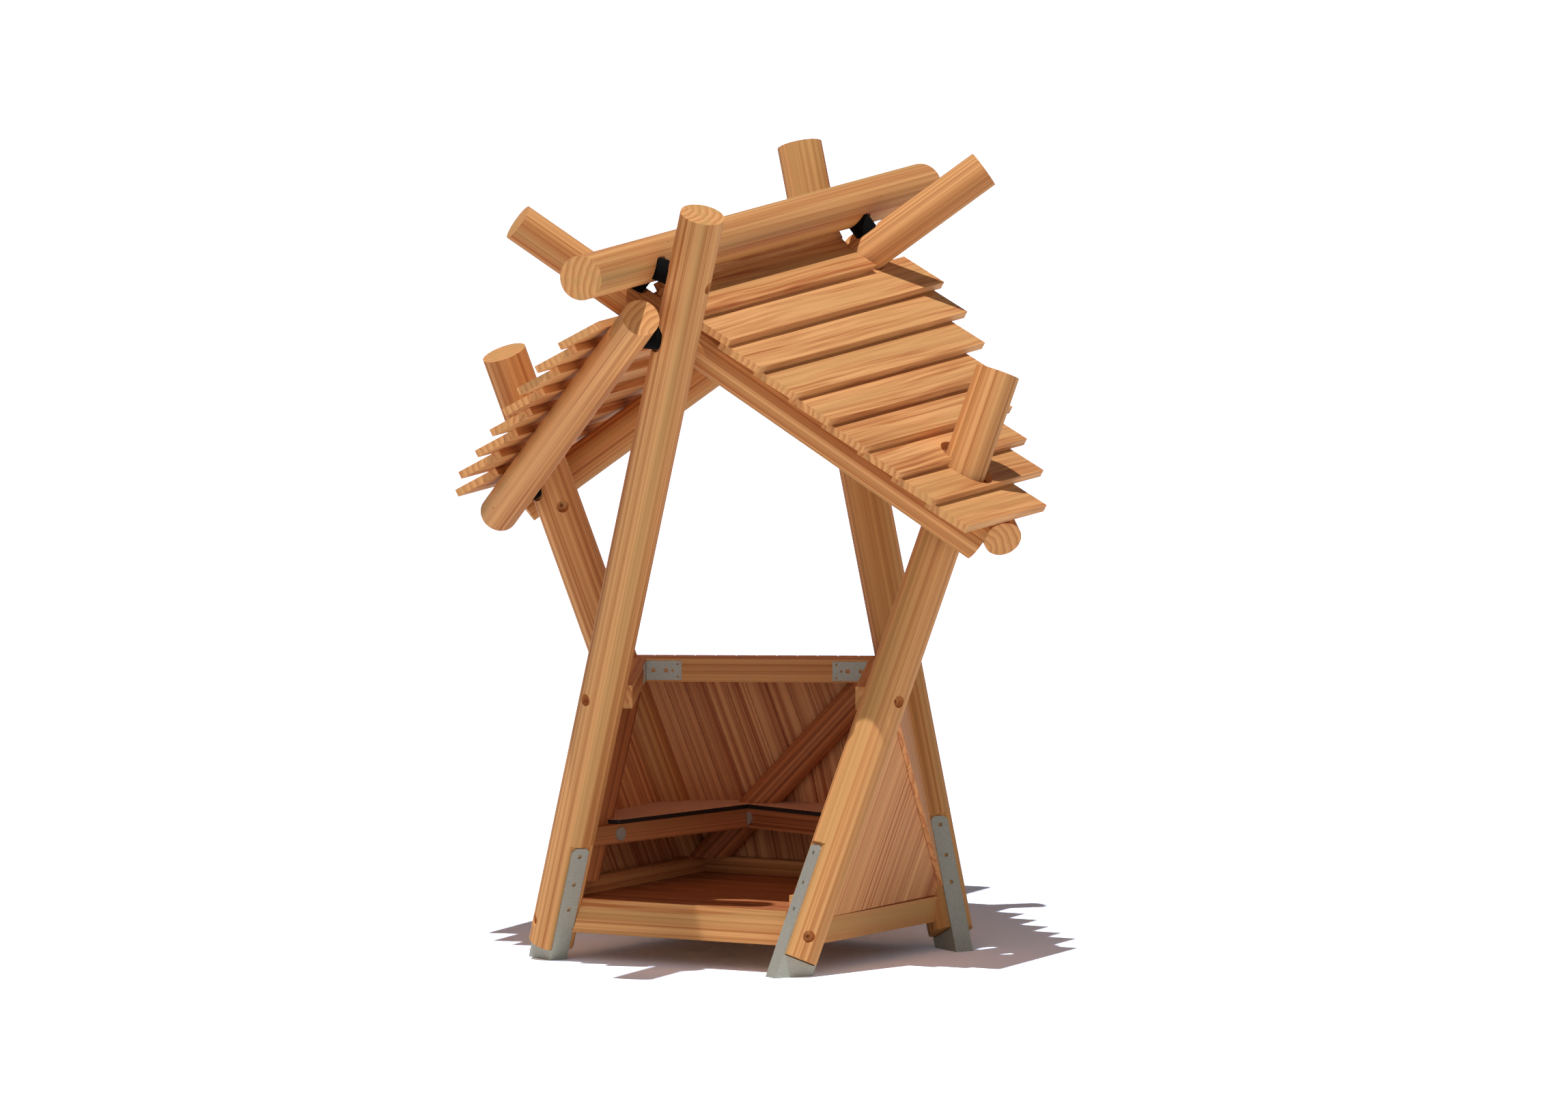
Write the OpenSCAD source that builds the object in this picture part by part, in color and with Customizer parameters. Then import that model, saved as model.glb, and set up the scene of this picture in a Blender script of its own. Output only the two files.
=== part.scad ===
// Garden playhouse on four leaning round legs.
// X runs along the open front, Y towards the back, Z up.
// The origin is on the ground under the centre of the house.

/* [Legs] */
// Diameter of the four round legs
leg_d = 140; // [120:1:160]
// Half the side of the square where the leg axes meet the ground
foot_half = 454; // [440:1:480]
// Distance along the ridge from its middle to where a tall leg passes it
head_along = 911; // [880:1:940]
// Height of the upper end of the two tall legs
tall_top = 2420; // [2350:5:2500]
// Height of the upper end of the two short legs
short_top = 1850; // [1750:5:1900]
// Height of the sawn lower end of a leg above the ground
leg_start = 55; // [50:1:75]

/* [Roof logs] */
// Diameter of the ridge log
ridge_d = 140; // [130:1:150]
// Length of the ridge log
ridge_len = 2770; // [2600:10:2900]
// Height of the ridge axis
ridge_z = 2257; // [2250:1:2265]
// Turn of the roof about the vertical, degrees
roof_turn = 12; // [11:0.5:13]
// Pitch of both slopes, degrees
roof_pitch = 39.6; // [39:0.2:40.4]
// Diameter of the four rafter logs
rafter_d = 120; // [110:1:126]
// Gap between two logs that cross, filled by a spacer
log_gap = 30; // [24:1:34]
// Diameter of the spacers
spacer_d = 74; // [60:1:80]
// Diameter of the flat that is milled for a spacer
flat_d = 92; // [88:1:100]
// Depth of that flat below the crown of the log
flat_depth = 12; // [10:1:15]

/* [Roof boards] */
// Number of boards on a slope
board_count = 9; // [6:1:9]
// Width of a roof board
board_w = 155; // [148:1:165]
// Thickness of a roof board
board_t = 24; // [20:1:26]
// Distance from one board's lower edge to the next
board_step = 129.5; // [125:0.5:132]
// Distance from the ridge axis to the lower edge of the top board
first_board = 214; // [212:1:220]
// Width of the narrow top board
top_board_w = 92; // [80:1:96]
// Running gap around a log that passes through the boards
board_clear = 24; // [12:1:26]

/* [Floor] */
// How far the beams' outer faces stand out from the legs' axes
beam_proud = 6.5; // [4:0.5:10]
// Height of a floor beam
beam_h = 78; // [70:1:90]
// Thickness of a floor beam
beam_t = 60; // [45:1:63]
// Height of the underside of the floor beams
beam_z = 90; // [80:1:100]
// Thickness of the floor boards
floor_t = 31; // [24:1:34]
// Number of floor boards
floor_count = 7; // [5:1:9]
// Gap between floor boards
floor_gap = 4; // [3:0.5:6]
// Height of the skirting above the floor
skirt_h = 48; // [40:1:60]
// Thickness of the skirting
skirt_t = 46; // [36:1:48]

/* [Walls] */
// Thickness of the wall planks
wall_t = 16; // [14:1:18]
// Height of the top of the walls and rails
rail_top = 882; // [870:1:900]
// Height of a top rail
rail_h = 72; // [65:1:80]
// Thickness of a top rail
rail_t = 86; // [75:1:95]
// How far a side rail's front end stays behind its outer corner
rail_setback = 34; // [25:1:45]
// Diameter of the round brace in the fold of a wall
brace_d = 100; // [80:1:104]

/* [Bench] */
// Height of the top of the seat
seat_z = 422; // [410:1:440]
// Thickness of the seat panel
seat_t = 13; // [10:1:16]
// Height of the aprons under the seat
apron_h = 60; // [50:1:70]
// Thickness of the aprons
apron_t = 45; // [35:1:50]
// Diameter of the round fittings on the aprons
disc_d = 42; // [36:1:48]

/* [Metal] */
// Width of a foot plate
plate_w = 60; // [50:1:70]
// Thickness of the foot plates
plate_t = 6; // [5:1:8]
// Height that the foot plates reach up
plate_top = 385; // [350:5:420]
// Distance from a leg's axis to the flat for the foot plate
plate_seat = 56; // [52:1:60]
// Side of the square holes in the foot plates
plate_hole = 12; // [10:1:14]

/* [Hidden] */
$fn = 48;
larch = "#d29a63";
steel = "#9ea3a3";
rubber = "#141414";
laminate = "#9a7058";
fit = 0.3;
eps = 0.01;
far = 4000;

// Vector helpers
function turned(p, a) = [p.x * cos(a) - p.y * sin(a), p.x * sin(a) + p.y * cos(a), p.z];
function unit(v) = v / norm(v);
function mix(a, b, f) = a + (b - a) * f;
// Foot of the perpendicular on line p, u that is common with line q, w
function near_on(p, u, q, w) =
  let (a = u * w, d = p - q) p + u * ((a * (w * d) - u * d) / (1 - a * a));

// Legs: the foot on the ground and the direction of the axis
// The tall legs lean so far that they pass the ridge with the log gap between
foot_side = foot_half * (cos(roof_turn) + sin(roof_turn));
head_clear = ridge_d / 2 + log_gap + leg_d / 2;
head_side = head_clear * norm([1, (head_clear + foot_side) / ridge_z]);
lean = (turned([head_side, -head_along, 0], roof_turn) + [foot_half, foot_half, 0]) / ridge_z;
slant = norm(lean);
leg_lean = atan(slant);
lean_dir = atan2(lean.y, lean.x);
function leg_foot(i) = turned([-foot_half, -foot_half, 0], 90 * i);
function leg_step(i) = turned([slant * cos(lean_dir), slant * sin(lean_dir), 1], 90 * i);
function leg_at(i, h) = leg_foot(i) + leg_step(i) * h;
function leg_top(i) = i % 2 == 0 ? tall_top : short_top;
// Distance from the centre to the side of the square through the legs
function half_at(h) = norm([leg_at(0, h).x, leg_at(0, h).y]) / sqrt(2);
// The square through the legs turns with height
function turn_at(h) = atan2(leg_at(0, h).y, leg_at(0, h).x) + 135;
floor_turn = turn_at(beam_z + beam_h / 2);
rail_turn = turn_at(rail_top - rail_h / 2);
floor_z = beam_z + beam_h + floor_t;
beam_out = half_at(beam_z + beam_h / 2) + beam_proud;

// Roof frame: x down the slope, y along the ridge, z off the slope
rafter_drop = ridge_d / 2 + log_gap + rafter_d / 2;
long_start = [-372, -955, -rafter_drop];
long_end = [1238, -209, -rafter_drop];
short_start = [53, 1043, -rafter_drop];
short_end = [1250, -35, -rafter_drop];
function on_roof(p, side) =
  let (a = [p.x * cos(roof_pitch) + p.z * sin(roof_pitch), p.y,
            p.z * cos(roof_pitch) - p.x * sin(roof_pitch) + ridge_z])
  turned(a, roof_turn + 180 * side);
ridge_dir = turned([0, 1, 0], roof_turn);
ridge_mid = [0, 0, ridge_z];

// A log as [point, unit direction, radius]
function leg_line(i) = [leg_foot(i), unit(leg_step(i)), leg_d / 2];
ridge_line = [ridge_mid, ridge_dir, ridge_d / 2];
function roof_line(a, b, side) =
  [on_roof(a, side), unit(on_roof(b, side) - on_roof(a, side)), rafter_d / 2];
long_lines = [for (s = [0, 1]) roof_line(long_start, long_end, s)];
short_lines = [for (s = [0, 1]) roof_line(short_start, short_end, s)];

// Every crossing of two logs
joints = [
  [leg_line(0), ridge_line], [leg_line(2), ridge_line],
  [ridge_line, long_lines[0]], [ridge_line, long_lines[1]],
  [leg_line(0), short_lines[1]], [leg_line(2), short_lines[0]],
  [leg_line(3), short_lines[1]], [leg_line(1), short_lines[0]],
  [leg_line(1), long_lines[0]], [leg_line(3), long_lines[1]]
];
function joint_from(j) = near_on(j[0][0], j[0][1], j[1][0], j[1][1]);
function joint_to(j) = near_on(j[1][0], j[1][1], j[0][0], j[0][1]);

// Puts the z axis on the way from p to q
module aim(p, q) {
  d = q - p;
  translate(p) rotate([0, acos(d.z / norm(d)), atan2(d.y, d.x)]) children();
}
module log_between(p, q, d) {
  aim(p, q) cylinder(h = norm(q - p), d = d);
}
// Flats for the spacers of one log, and the bolt's pocket on the far side
bolt_pocket_d = 39;
bolt_pocket_depth = 22;
bolt_hole_d = 12;
module joint_cuts(k, end, pocket) {
  p = end == 0 ? joint_from(joints[k]) : joint_to(joints[k]);
  q = end == 0 ? joint_to(joints[k]) : joint_from(joints[k]);
  r = joints[k][end][2];
  aim(p, q) {
    translate([0, 0, r - flat_depth]) cylinder(h = 60, d = flat_d);
    if (pocket) {
      translate([0, 0, -r - 20]) cylinder(h = 20 + bolt_pocket_depth, d = bolt_pocket_d);
      translate([0, 0, -r]) cylinder(h = bolt_pocket_depth + 12, d = bolt_hole_d);
    } else {
      translate([0, 0, -r - 5]) cylinder(h = 15, d = 7);
    }
  }
}
module spacer(k) {
  p = joint_from(joints[k]);
  q = joint_to(joints[k]);
  a = joints[k][0][2] - flat_depth;
  b = joints[k][1][2] - flat_depth;
  aim(p, q) translate([0, 0, a]) cylinder(h = norm(q - p) - a - b, d = spacer_d);
}

// Height along a leg's axis, and a frame on the leg: z along it,
// x towards the side to which it leans
module on_leg(i, h) {
  translate(leg_at(i, h)) rotate([0, 0, lean_dir + 90 * i]) rotate([0, leg_lean, 0]) children();
}
// Pocket of a bolt that points from the leg to the middle of the house
module radial_pocket(i, h) {
  c = leg_at(i, h);
  aim([c.x, c.y, h], [0, 0, h]) {
    translate([0, 0, -leg_d / 2 - 20]) cylinder(h = 20 + bolt_pocket_depth, d = bolt_pocket_d);
    translate([0, 0, -leg_d / 2]) cylinder(h = bolt_pocket_depth + 12, d = bolt_hole_d);
  }
}
// Flats on both sides of the leg for the foot plates
module plate_recess(i) {
  len = (plate_top + 8) / cos(leg_lean);
  on_leg(i, 0) for (s = [0, 180])
    rotate([0, 0, s]) translate([plate_seat, -leg_d / 2, -50])
      cube([leg_d, leg_d, 50 + len]);
}
module leg(i, cuts) {
  color(larch) difference() {
    on_leg(i, 0) translate([0, 0, leg_start / cos(leg_lean)])
      cylinder(h = (leg_top(i) - leg_start) / cos(leg_lean), d = leg_d);
    plate_recess(i);
    radial_pocket(i, rail_top - rail_h / 2);
    radial_pocket(i, beam_z + beam_h / 2);
    for (k = cuts) joint_cuts(k, 0, true);
  }
}

// Galvanised foot: two plates on the leg's flats and a box below the log
box_top = leg_start - 3;
module foot(i) {
  len = plate_top / cos(leg_lean);
  clip = 12;
  seat = plate_seat + fit;
  color(steel) intersection() {
    difference() {
      on_leg(i, 0) {
        for (s = [0, 180]) rotate([0, 0, s]) translate([seat, 0, 0]) difference() {
          rotate([0, 90, 0]) linear_extrude(plate_t) polygon([
            [80, -plate_w / 2], [80, plate_w / 2], [clip - len, plate_w / 2],
            [-len, plate_w / 2 - clip], [-len, clip - plate_w / 2], [clip - len, -plate_w / 2]]);
          for (h = plate_holes) translate([-1, -plate_hole / 2, len - h - plate_hole / 2])
            cube([plate_t + 2, plate_hole, plate_hole]);
        }
        translate([0, 0, box_top / cos(leg_lean) - 80]) difference() {
          translate([-seat - eps, -plate_w / 2, 0]) cube([2 * (seat + eps), plate_w, 80]);
          translate([-seat - 1, plate_t - plate_w / 2, -1])
            cube([2 * seat + 2, plate_w - 2 * plate_t, 81 - plate_t]);
        }
      }
    }
    translate([-far / 2, -far / 2, 0]) cube([far, far, far]);
  }
}
plate_holes = [28, 126, 213];

// Roof boards, each tilted so that it rests on the rafters and on the next board
lap_tilt = asin((board_t + 0.5) / board_step);
// Left and right ends of the boards along the ridge, from the ridge down
left_ends = [-735, -727, -718, -675, -631, -597, -550, -515, -482];
right_ends = [700, 1015, 962, 864, 740, 604, 481, 374, 158];
module roof_board(k) {
  w = k == 0 ? top_board_w : board_w;
  low = first_board + k * board_step;
  len = right_ends[k] - left_ends[k];
  // The lower edge stands off the rafters by the width times the lap tilt
  lift = board_w * sin(lap_tilt) + fit;
  translate([low, left_ends[k], lift - ridge_to_rafter_top])
    rotate([0, -lap_tilt, 0]) translate([-w, 0, 0]) cube([w, len, board_t]);
}
ridge_to_rafter_top = rafter_drop - rafter_d / 2;
module on_slope(side) {
  rotate([0, 0, roof_turn + 180 * side]) translate([0, 0, ridge_z]) rotate([0, roof_pitch, 0])
    children();
}
module clear_log(line, extra) {
  aim(line[0] - line[1] * 3000, line[0] + line[1] * 3000)
    cylinder(h = 6000, r = line[2] + extra);
}
module roof_boards(side) {
  color(larch) difference() {
    on_slope(side) for (k = [0:board_count - 1]) roof_board(k);
    clear_log(leg_line(side == 0 ? 1 : 3), board_clear);
    clear_log(leg_line(side == 0 ? 2 : 0), board_clear);
    clear_log(long_lines[1 - side], 6);
  }
}

// Floor, turned like the square of the legs at its height
module floor_beams() {
  inner = beam_out - beam_t;
  color(larch) difference() {
    rotate([0, 0, floor_turn]) translate([0, 0, beam_z]) for (s = [0, 180]) rotate([0, 0, s]) {
      translate([-beam_out, -beam_out, 0]) cube([2 * beam_out, beam_t, beam_h]);
      translate([inner, fit - inner, 0]) cube([beam_t, 2 * (inner - fit), beam_h]);
    }
    for (i = [0:3]) clear_log(leg_line(i), fit);
    for (i = [0:3]) foot_clear(i);
  }
}
module foot_clear(i) {
  on_leg(i, 0) for (s = [0, 180]) rotate([0, 0, s])
    translate([plate_seat, -plate_w / 2 - 2, -60])
      cube([plate_t + 3, plate_w + 4, 60 + (plate_top + 10) / cos(leg_lean)]);
}
// Distance from the centre to the inner face of a wall at the floor
wall_z0 = beam_z + beam_h + 4;
wall_foot = half_at(wall_z0) - wall_t / 2 - 2 * fit;
module floor_boards() {
  depth = beam_out + wall_foot;
  step = (depth + floor_gap) / floor_count;
  color(larch) difference() {
    rotate([0, 0, floor_turn]) for (k = [0:floor_count - 1])
      translate([-wall_foot, -beam_out + k * step, beam_z + beam_h + fit])
        cube([2 * wall_foot, step - floor_gap, floor_t - fit]);
    for (i = [0:3]) clear_log(leg_line(i), 2);
    for (i = [0:3]) foot_clear(i);
  }
}
// Skirting on the floor along the left, back and right walls
module skirting() {
  face = wall_foot - skirt_t;
  color(larch) difference() {
    rotate([0, 0, floor_turn]) translate([0, 0, floor_z + fit]) {
      translate([face, -wall_foot, 0]) cube([skirt_t, 2 * wall_foot, skirt_h]);
      translate([-wall_foot, -wall_foot, 0]) cube([skirt_t, 2 * wall_foot, skirt_h]);
      translate([fit - face, face, 0]) cube([2 * (face - fit), skirt_t, skirt_h]);
    }
    for (i = [0:3]) clear_log(leg_line(i), fit);
    for (i = [0:3]) foot_clear(i);
  }
}

// Walls: each is folded along its diagonal into two flat triangles.
// Wall i stands between legs i and i + 1. The lower triangle holds leg i's
// whole line, the upper one that of leg i + 1, so both lie in true planes.
fold_gap = 9;
function flat(v) = [v.x, v.y];
function tri_dir(a, b) = atan2(b.y - a.y, b.x - a.x);
function tri_tilt(a, b, c) =
  let (t = tri_dir(a, b), d = c - a) atan2(d.z, d * [-sin(t), cos(t), 0]);
function tri_x(a, b) = [cos(tri_dir(a, b)), sin(tri_dir(a, b)), 0];
function tri_y(a, b, c) =
  let (t = tri_dir(a, b), k = tri_tilt(a, b, c)) [-sin(t) * cos(k), cos(t) * cos(k), sin(k)];
function tri_out(a, b, c) =
  let (n = cross(tri_x(a, b), tri_y(a, b, c)), m = (a + b) / 2) n * [m.x, m.y, 0] > 0 ? 1 : -1;
function tri_flat(a, b, c, p) = [(p - a) * tri_x(a, b), (p - a) * tri_y(a, b, c)];
function lower_tri(i) = [leg_at(i, wall_z0), leg_at(i + 1, wall_z0), leg_at(i, rail_top)];
function upper_tri(i) = [leg_at(i, rail_top), leg_at(i + 1, rail_top), leg_at(i + 1, wall_z0)];
// Moves the children into the plane of triangle t, z out of the house
module in_plane(t) {
  o = tri_out(t[0], t[1], t[2]);
  translate(t[0]) rotate([0, 0, tri_dir(t[0], t[1])]) rotate([tri_tilt(t[0], t[1], t[2]), 0, 0])
    mirror([0, 0, o > 0 ? 0 : 1]) children();
}
// The corner k of the triangle stays, the edge across from it moves in
module wall_panel(i, t, k) {
  q = [for (p = t) tri_flat(t[0], t[1], t[2], p)];
  m = q[(k + 1) % 3];
  n = q[(k + 2) % 3];
  span = abs(cross([n.x - m.x, n.y - m.y, 0], [q[k].x - m.x, q[k].y - m.y, 0]).z) / norm(n - m);
  f = 1 - fold_gap / span;
  color(larch) difference() {
    in_plane(t) translate([0, 0, -wall_t / 2]) linear_extrude(wall_t)
      polygon([for (p = q) q[k] + (p - q[k]) * f]);
    clear_log(leg_line(i), fit);
    clear_log(leg_line(i + 1), fit);
    foot_clear(i);
    foot_clear(i + 1);
  }
}
// Everything outside the inner faces of wall i
module beyond_wall(i) {
  for (t = [lower_tri(i), upper_tri(i)])
    in_plane(t) translate([-far / 2, -far / 2, -wall_t / 2 - fit]) cube([far, far, far]);
}

// Round brace in the fold of wall i, cut level at both ends
function tri_inward(t) =
  -tri_out(t[0], t[1], t[2]) * cross(tri_x(t[0], t[1]), tri_y(t[0], t[1], t[2]));
module brace_log(i, extra, out = 0) {
  a = tri_inward(lower_tri(i));
  b = tri_inward(upper_tri(i));
  mid = unit(a + b);
  off = (wall_t / 2 + fit + brace_d / 2) / (a * mid) - out;
  p = leg_at(i, rail_top) + mid * off;
  q = leg_at(i + 1, wall_z0) + mid * off;
  log_between(p, q, brace_d + 2 * extra);
}
module brace(i) {
  low = floor_z + fit + skirt_h + fit;
  color(larch) difference() {
    intersection() {
      brace_log(i, 0);
      translate([0, 0, low]) cylinder(h = rail_top - rail_h - fit - low, r = 900);
    }
    clear_log(leg_line(i), fit);
    clear_log(leg_line(i + 1), fit);
    foot_clear(i + 1);
  }
}

// Top rails on three sides; the back one runs through
rail_out = half_at(rail_top) - wall_t / 2 - 3 * fit;
rail_in = rail_out - rail_t;
rail_front = rail_out - rail_setback;
module rail(i) {
  from = i == 1 ? -rail_front : (i == 2 ? -rail_out : fit - rail_in);
  to = i == 1 ? rail_in - fit : (i == 2 ? rail_out : rail_front);
  color(larch) difference() {
    rotate([0, 0, rail_turn + 90 * i]) translate([from, -rail_out, rail_top - rail_h])
      cube([to - from, rail_out - rail_in, rail_h]);
    clear_log(leg_line(i), fit);
    clear_log(leg_line(i + 1), fit);
  }
}
// Angle brackets in the two rear inner corners of the rails
bracket_len = 112;
bracket_h = 60;
bracket_t = 3;
module bracket_leaf() {
  difference() {
    translate([0, 0, -bracket_h / 2]) cube([bracket_len, bracket_t, bracket_h]);
    for (x = [24, 64]) translate([x - 6, -1, -6]) cube([12, bracket_t + 2, 12]);
    translate([84, -1, 0]) rotate([-90, 0, 0]) cylinder(h = bracket_t + 2, d = 8);
    for (z = [-20, 20]) translate([100, -1, z]) rotate([-90, 0, 0]) cylinder(h = bracket_t + 2, d = 7);
  }
}
module rail_brackets() {
  in = rail_in - fit;
  color(steel) for (c = [2, 3])
    rotate([0, 0, rail_turn + 90 * c]) translate([-in, -in, rail_top - rail_h / 2]) {
      bracket_leaf();
      mirror([1, -1, 0]) bracket_leaf();
    }
}

// Corner bench whose front edge has an obtuse corner
// Its points are set as parts of the square at the legs' feet
seat_corner = foot_half * [-0.524, 0.725];
seat_start = foot_half * [-0.7, -0.56];
seat_turn = seat_corner + foot_half * [1.98, -0.37];
seat_poly = concat([foot_half * [-1.322, -0.765], seat_start, seat_corner, seat_turn],
  [for (p = [[1.32, 1.54], [-1.54, 1.54], [-1.54, -0.842]]) foot_half * p]);
module room(extra) {
  for (i = [1, 2, 3]) beyond_wall(i);
  for (i = [0:3]) clear_log(leg_line(i), extra);
  for (i = [1, 2, 3]) for (out = [0, 12]) brace_log(i, extra, out);
}
module bench_seat() {
  color(laminate) difference() {
    translate([0, 0, seat_z - seat_t]) linear_extrude(seat_t) polygon(seat_poly);
    room(1);
    // No corner of the seat stays in front of the right brace
    translate([brace_d / 4, -brace_d / 4, 0]) brace_log(1, 1);
  }
}
apron_z = seat_z - seat_t - fit - apron_h;
left_dir = atan2(seat_corner.y - seat_start.y, seat_corner.x - seat_start.x);
right_dir = atan2(seat_turn.y - seat_corner.y, seat_turn.x - seat_corner.x);
// The front face runs through p in direction a; the apron lies to its left
module apron(p, a, from, to) {
  translate([p.x, p.y, apron_z]) rotate([0, 0, a])
    translate([from, 1, 0]) cube([to - from, apron_t, apron_h]);
}
module bench_apron_left() {
  color(larch) difference() {
    apron(seat_start, left_dir, -foot_half, norm(seat_corner - seat_start) + apron_t);
    translate([seat_corner.x, seat_corner.y, apron_z - 1]) rotate([0, 0, right_dir])
      translate([-foot_half, 1 - fit, 0]) cube([3 * foot_half, foot_half, apron_h + 2]);
    room(fit);
  }
}
module bench_apron_right() {
  color(larch) difference() {
    apron(seat_corner, right_dir, -foot_half, 2 * foot_half);
    room(fit);
  }
}
// Round fittings on the aprons; the left apron covers half of one
module bench_discs() {
  z = apron_z + apron_h / 2;
  color(steel) {
    translate([seat_start.x, seat_start.y, z]) rotate([0, 0, left_dir])
      translate([0, 1 - fit, 0]) rotate([90, 0, 0]) cylinder(h = 6, d = disc_d);
    translate([seat_corner.x, seat_corner.y, z]) rotate([0, 0, right_dir])
      intersection() {
        translate([0, 1 - fit, 0]) rotate([90, 0, 0]) cylinder(h = 6, d = disc_d);
        translate([2, -20, -50]) cube([60, 60, 100]);
      }
  }
}

module ridge_log() {
  color(larch) difference() {
    log_between(ridge_mid - ridge_dir * ridge_len / 2, ridge_mid + ridge_dir * ridge_len / 2, ridge_d);
    for (k = [0, 1]) joint_cuts(k, 1, false);
    for (k = [2, 3]) joint_cuts(k, 0, false);
  }
}
module long_rafter(side) {
  color(larch) difference() {
    log_between(on_roof(long_start, side), on_roof(long_end, side), rafter_d);
    joint_cuts(2 + side, 1, false);
    joint_cuts(8 + side, 1, false);
  }
}
module short_rafter(side) {
  color(larch) difference() {
    log_between(on_roof(short_start, side), on_roof(short_end, side), rafter_d);
    joint_cuts(5 - side, 1, false);
    joint_cuts(7 - side, 1, false);
  }
}
module log_spacers() {
  color(rubber) for (k = [0:9]) spacer(k);
}

leg(0, [0, 4]);  // leg_front_left
leg(1, [7, 8]);  // leg_front_right
leg(2, [1, 5]);  // leg_back_right
leg(3, [6, 9]);  // leg_back_left
foot(0);  // foot_front_left
foot(1);  // foot_front_right
foot(2);  // foot_back_right
foot(3);  // foot_back_left
ridge_log();
long_rafter(0);  // long_rafter_right
long_rafter(1);  // long_rafter_left
short_rafter(0);  // short_rafter_right
short_rafter(1);  // short_rafter_left
log_spacers();
roof_boards(0);  // roof_boards_right
roof_boards(1);  // roof_boards_left
floor_beams();
floor_boards();
skirting();
rail(3);  // rail_left
rail(2);  // rail_back
rail(1);  // rail_right
rail_brackets();
wall_panel(3, lower_tri(3), 0);  // wall_left_lower
wall_panel(3, upper_tri(3), 1);  // wall_left_upper
wall_panel(2, lower_tri(2), 0);  // wall_back_lower
wall_panel(2, upper_tri(2), 1);  // wall_back_upper
wall_panel(1, lower_tri(1), 0);  // wall_right_lower
wall_panel(1, upper_tri(1), 1);  // wall_right_upper
brace(3);  // brace_left
brace(2);  // brace_back
brace(1);  // brace_right
bench_seat();
bench_apron_left();
bench_apron_right();
bench_discs();
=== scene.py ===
import random
from math import asin, atan2, cos, hypot, pi, radians, sin

import bmesh
import bpy
from mathutils import Matrix, Vector


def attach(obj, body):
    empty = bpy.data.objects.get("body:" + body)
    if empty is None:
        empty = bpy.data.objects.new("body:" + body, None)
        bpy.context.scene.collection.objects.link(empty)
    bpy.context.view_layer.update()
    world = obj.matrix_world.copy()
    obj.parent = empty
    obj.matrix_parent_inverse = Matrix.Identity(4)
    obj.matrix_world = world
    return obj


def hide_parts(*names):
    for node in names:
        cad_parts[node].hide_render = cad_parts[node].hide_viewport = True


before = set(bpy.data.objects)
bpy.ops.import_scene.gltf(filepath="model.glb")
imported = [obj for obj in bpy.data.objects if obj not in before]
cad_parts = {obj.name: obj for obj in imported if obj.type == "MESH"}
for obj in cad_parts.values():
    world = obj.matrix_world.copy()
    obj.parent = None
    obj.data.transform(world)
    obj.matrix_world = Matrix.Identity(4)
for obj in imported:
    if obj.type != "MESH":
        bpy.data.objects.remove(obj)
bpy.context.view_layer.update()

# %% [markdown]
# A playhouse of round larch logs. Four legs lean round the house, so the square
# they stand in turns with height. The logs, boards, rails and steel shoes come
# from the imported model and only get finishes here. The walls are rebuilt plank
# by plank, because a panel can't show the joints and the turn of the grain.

LEG_D = 0.140
FOOT_HALF = 0.454
HEAD_ALONG = 0.911
LOG_GAP = 0.030
RIDGE_D = 0.140
RAFTER_D = 0.120
RIDGE_Z = 2.257
ROOF_TURN = radians(12)
ROOF_PITCH = radians(39.6)
BOARD_STEP = 0.1295
FIRST_BOARD = 0.214
BEAM_Z = 0.090
BEAM_H = 0.078
BEAM_OUT = 0.450
RAIL_TOP = 0.882
RAIL_H = 0.072
WALL_FOOT = BEAM_Z + BEAM_H + 0.004
WALL_T = 0.016
FOLD_LAP = 0.025

# %% [markdown]
# Every leg is a quarter turn of the first one. A point on a leg's axis at a
# given height is all that the walls, the floor and the rails need, because each
# of them follows the square through the four axes.

# %% The axes of the legs
UP = Vector((0, 0, 1))
foot_side = FOOT_HALF * (cos(ROOF_TURN) + sin(ROOF_TURN))
head_clear = RIDGE_D / 2 + LOG_GAP + LEG_D / 2
head_side = head_clear * hypot(1, (head_clear + foot_side) / RIDGE_Z)
LEG_FOOT = Vector((-FOOT_HALF, -FOOT_HALF, 0))
LEG_HEAD = Matrix.Rotation(ROOF_TURN, 3, "Z") @ Vector((head_side, -HEAD_ALONG, RIDGE_Z))


def leg_at(i, h):
    """Point of leg i's axis at height h; i counts round from the front left."""
    p = LEG_FOOT.lerp(LEG_HEAD, h / RIDGE_Z)
    return Matrix.Rotation(radians(90 * i), 3, "Z") @ p


def turn_at(h):
    """Turn of the square through the legs at height h."""
    p = leg_at(0, h)
    return atan2(p.y, p.x) + radians(135)


print("the square turns by %.1f degrees from floor to rail" % ((turn_at(RAIL_TOP) - turn_at(BEAM_Z)) * 180 / pi))

# %% [markdown]
# Shader nodes are easier to read as one line each. The helper below adds a
# node, sets its options and inputs, and links whatever input is given as a
# socket, so that a whole effect reads from top to bottom like a recipe.

# %% Helpers for shader nodes
def add(tree, kind, inputs=None, **options):
    n = tree.nodes.new(kind)
    for key, value in options.items():
        setattr(n, key, value)
    for key, value in (inputs or {}).items():
        if isinstance(value, bpy.types.NodeSocket):
            tree.links.new(value, n.inputs[key])
        else:
            n.inputs[key].default_value = value
    return n


def maths(tree, operation, *values):
    return add(tree, "ShaderNodeMath", dict(enumerate(values)), operation=operation).outputs[0]


def total(tree, first, *others):
    for value in others:
        first = maths(tree, "ADD", first, value)
    return first


def mixed(tree, amount, first, second):
    """The first colour where amount is 0, the second where it is 1."""
    colours = {0: amount, 6: first, 7: second}
    return add(tree, "ShaderNodeMix", colours, data_type="RGBA", clamp_factor=True).outputs[2]


def upward(tree):
    """How far a face looks up: 1 on a floor, 0 on a wall."""
    normal = add(tree, "ShaderNodeNewGeometry").outputs["Normal"]
    return add(tree, "ShaderNodeSeparateXYZ", {0: normal}).outputs[2]


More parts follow.
